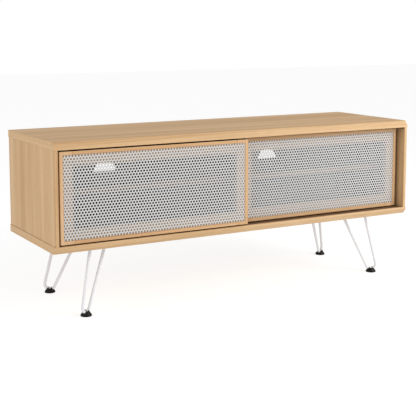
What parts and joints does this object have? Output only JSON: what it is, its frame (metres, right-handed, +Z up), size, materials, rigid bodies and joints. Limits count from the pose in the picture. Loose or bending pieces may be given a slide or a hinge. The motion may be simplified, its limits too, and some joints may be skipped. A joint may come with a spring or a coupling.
{
  "type": "tv stand with sliding doors",
  "caption": "Low oak-veneered TV stand with sliding doors of white perforated sheet, a shelf in each bay, and splayed white hairpin legs on black foot caps.",
  "frame": {"origin": "on the floor, under the centre of the top: the bottom centre of the bounding box", "axes": "+X to the right seen from the front, along the length; +Y to the back; +Z up"},
  "size_m": [1.19, 0.365, 0.487],
  "materials": {
    "oak_board": "satin lacquered oak veneer",
    "oak_back": "oak-faced hardboard, matt",
    "white_sheet": "white powder coat on perforated steel",
    "white_rod": "white powder coat on bent steel rod",
    "black_rubber": "moulded, satin",
    "brown_plastic": "extruded, matt",
    "zinc_screw": "zinc plated"
  },
  "bodies": {
    "cabinet": {"back_panel": "oak_back", "bottom_panel": "oak_board", "centre_divider": "oak_board", "front_left_foot_cap": "black_rubber", "front_left_hairpin": "white_rod", "front_left_plate": "white_rod", "front_left_screw_1": "zinc_screw", "front_left_screw_2": "zinc_screw", "front_left_screw_3": "zinc_screw", "front_right_foot_cap": "black_rubber", "front_right_hairpin": "white_rod", "front_right_plate": "white_rod", "front_right_screw_1": "zinc_screw", "front_right_screw_2": "zinc_screw", "front_right_screw_3": "zinc_screw", "left_shelf": "oak_board", "left_shelf_pin_inner_front": "zinc_screw", "left_shelf_pin_inner_rear": "zinc_screw", "left_shelf_pin_outer_front": "zinc_screw", "left_shelf_pin_outer_rear": "zinc_screw", "left_side_panel": "oak_board", "lower_track": "brown_plastic", "rear_left_foot_cap": "black_rubber", "rear_left_hairpin": "white_rod", "rear_left_plate": "white_rod", "rear_left_screw_1": "zinc_screw", "rear_left_screw_2": "zinc_screw", "rear_left_screw_3": "zinc_screw", "rear_right_foot_cap": "black_rubber", "rear_right_hairpin": "white_rod", "rear_right_plate": "white_rod", "rear_right_screw_1": "zinc_screw", "rear_right_screw_2": "zinc_screw", "rear_right_screw_3": "zinc_screw", "right_shelf": "oak_board", "right_shelf_pin_inner_front": "zinc_screw", "right_shelf_pin_inner_rear": "zinc_screw", "right_shelf_pin_outer_front": "zinc_screw", "right_shelf_pin_outer_rear": "zinc_screw", "right_side_panel": "oak_board", "top_panel": "oak_board", "upper_track": "brown_plastic"},
    "left_door": {"left_door_bottom_rail": "oak_board", "left_door_left_glide": "brown_plastic", "left_door_left_stile": "oak_board", "left_door_left_top_guide": "brown_plastic", "left_door_perforated_sheet": "white_sheet", "left_door_right_glide": "brown_plastic", "left_door_right_stile": "oak_board", "left_door_right_top_guide": "brown_plastic", "left_door_top_rail": "oak_board"},
    "right_door": {"right_door_bottom_rail": "oak_board", "right_door_left_glide": "brown_plastic", "right_door_left_stile": "oak_board", "right_door_left_top_guide": "brown_plastic", "right_door_perforated_sheet": "white_sheet", "right_door_right_glide": "brown_plastic", "right_door_right_stile": "oak_board", "right_door_right_top_guide": "brown_plastic", "right_door_top_rail": "oak_board"}
  },
  "joints": [
    {"name": "left_door_slide", "type": "slide", "parent": "cabinet", "child": "left_door", "axis": [1, 0, 0], "range_m": [0, 0.577]},
    {"name": "right_door_slide", "type": "slide", "parent": "cabinet", "child": "right_door", "axis": [-1, 0, 0], "range_m": [-0.0065, 0.5705]}
  ]
}
